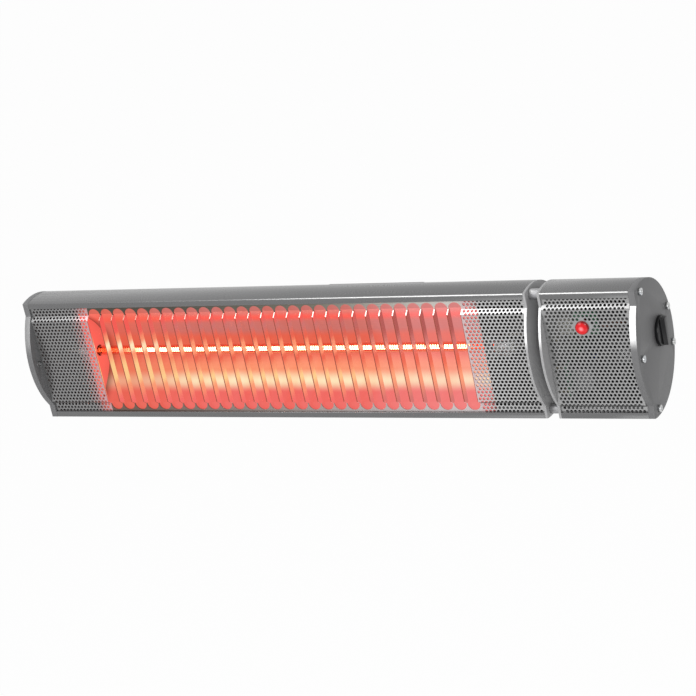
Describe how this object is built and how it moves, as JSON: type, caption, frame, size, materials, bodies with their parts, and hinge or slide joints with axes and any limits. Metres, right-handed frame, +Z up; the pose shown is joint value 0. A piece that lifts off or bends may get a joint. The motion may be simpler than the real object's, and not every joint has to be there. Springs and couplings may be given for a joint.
{
  "type": "electric bar heater",
  "caption": "Long wall-hung infrared heater with a D-shaped body, bladed front grille, perforated ends, a separate control section, a rotary switch and a tilting bracket.",
  "frame": {"origin": "middle of the wall plate's hole pattern, on the wall's plane, with the heater upright and facing straight out", "axes": "+X along the heater towards its control section, -Y out of the wall through the front grille, +Z up"},
  "size_m": [0.6924, 0.1605, 0.135],
  "materials": {
    "housing_paint": "extrusion with a satin mid grey coat",
    "cap_paint": "castings with a satin mid grey coat",
    "plate_paint": "plate with a satin grey coat",
    "sheet_steel": "bright satin sheet",
    "bright_aluminium": "polished reflector sheet",
    "spacer_aluminium": "turned, satin",
    "plated_steel": "bright zinc plate",
    "nickel_brass": "nickel plated",
    "bracket_paint": "fine texture dark grey coat",
    "quartz": "clear, glowing",
    "hot_wire": "glowing coil",
    "ceramic": null,
    "lead_sleeve": "silicone sleeve",
    "dark_sleeve": "soft insulation",
    "copper_sleeve": "brown insulation",
    "board_green": "solder mask on laminate",
    "component_dark": "moulded",
    "relay_blue": "moulded case",
    "core_steel": "laminated core and dark winding",
    "terminal_plastic": "moulded nylon",
    "lens_red": "translucent red dome",
    "black_plastic": "satin black moulding",
    "gland_plastic": "black nylon",
    "seal_rubber": "soft"
  },
  "bodies": {
    "wall_mount": {"wall_bracket": "bracket_paint", "hinge_bolts": "plated_steel", "hinge_washers": "plated_steel", "hinge_nuts": "plated_steel"},
    "heater": {"tilt_bracket": "bracket_paint", "rail_bolts": "plated_steel", "rail_washers": "plated_steel", "rail_nuts": "plated_steel", "heater_housing": "housing_paint", "left_end_cap": "cap_paint", "heater_inner_plate": "plate_paint", "control_inner_plate": "plate_paint", "right_end_cap": "cap_paint", "section_spacers": "spacer_aluminium", "control_housing": "housing_paint", "front_grille": "sheet_steel", "control_cover": "sheet_steel", "reflector": "bright_aluminium", "reflector_end_plates": "bright_aluminium", "quartz_tube": "quartz", "heating_coil": "hot_wire", "lamp_ceramics": "ceramic", "lamp_clips": "plated_steel", "lamp_leads": "lead_sleeve", "wire_conduit": "plated_steel", "conduit_nuts": "nickel_brass", "control_board": "board_green", "board_pillars": "nickel_brass", "board_screws": "plated_steel", "transformer": "core_steel", "relay": "relay_blue", "capacitor": "component_dark", "control_chip": "component_dark", "terminal_block": "terminal_plastic", "terminal_screws": "nickel_brass", "earth_screw": "nickel_brass", "indicator_lens": "lens_red", "lens_holder": "black_plastic", "receiver_board": "board_green", "receiver_lead": "dark_sleeve", "switch_leads": "copper_sleeve", "switch_body": "black_plastic", "switch_nut": "plated_steel", "cable_gland": "gland_plastic", "gland_seal": "seal_rubber", "gland_nut": "gland_plastic", "left_cap_screws": "plated_steel", "tie_screws": "plated_steel", "front_screws": "plated_steel", "front_rivet_nuts": "plated_steel"},
    "knob": {"switch_spindle": "plated_steel", "switch_knob": "black_plastic"}
  },
  "joints": [
    {"name": "tilt_hinge", "type": "hinge", "parent": "wall_mount", "child": "heater", "pos_m": [0, -0.03, 0.015], "axis": [1, 0, 0], "range_deg": [0, 45]},
    {"name": "switch_turn", "type": "hinge", "parent": "heater", "child": "knob", "pos_m": [0.341, -0.0965, 0.02], "axis": [1, 0, 0], "range_deg": [0, 90]}
  ]
}
